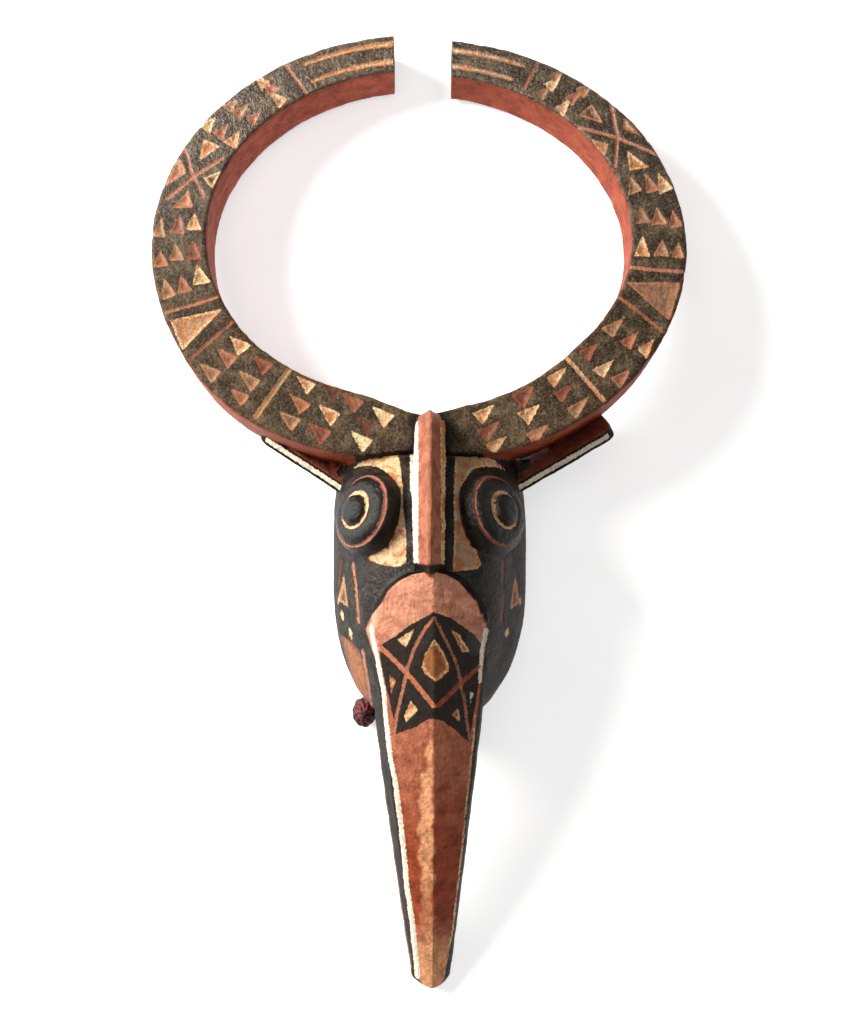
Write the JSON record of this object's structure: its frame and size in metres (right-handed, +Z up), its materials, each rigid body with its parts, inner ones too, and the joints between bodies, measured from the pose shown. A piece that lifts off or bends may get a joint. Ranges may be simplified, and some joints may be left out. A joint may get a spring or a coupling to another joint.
{
  "type": "carved bird mask",
  "caption": "Carved and painted wooden bird mask lying face up, with a long ridged beak, ringed eyes, a sharp crest, flat ears and two horns bent into an open ring.",
  "frame": {"origin": "on the surface the mask lies on, under the middle of its length and width", "axes": "+Y from the beak's tip to the horn tips, +Z up out of the face, +X to the right seen from above"},
  "size_m": [0.4682, 0.864, 0.17],
  "materials": {
    "painted_wood": "dry matte paint, worn to the wood on edges and ridges",
    "dyed_fibre": "matte twisted fibre, dyed dark red"
  },
  "bodies": {
    "root": {"mask_body": "painted_wood", "fibre_knot": "dyed_fibre"}
  },
  "joints": []
}
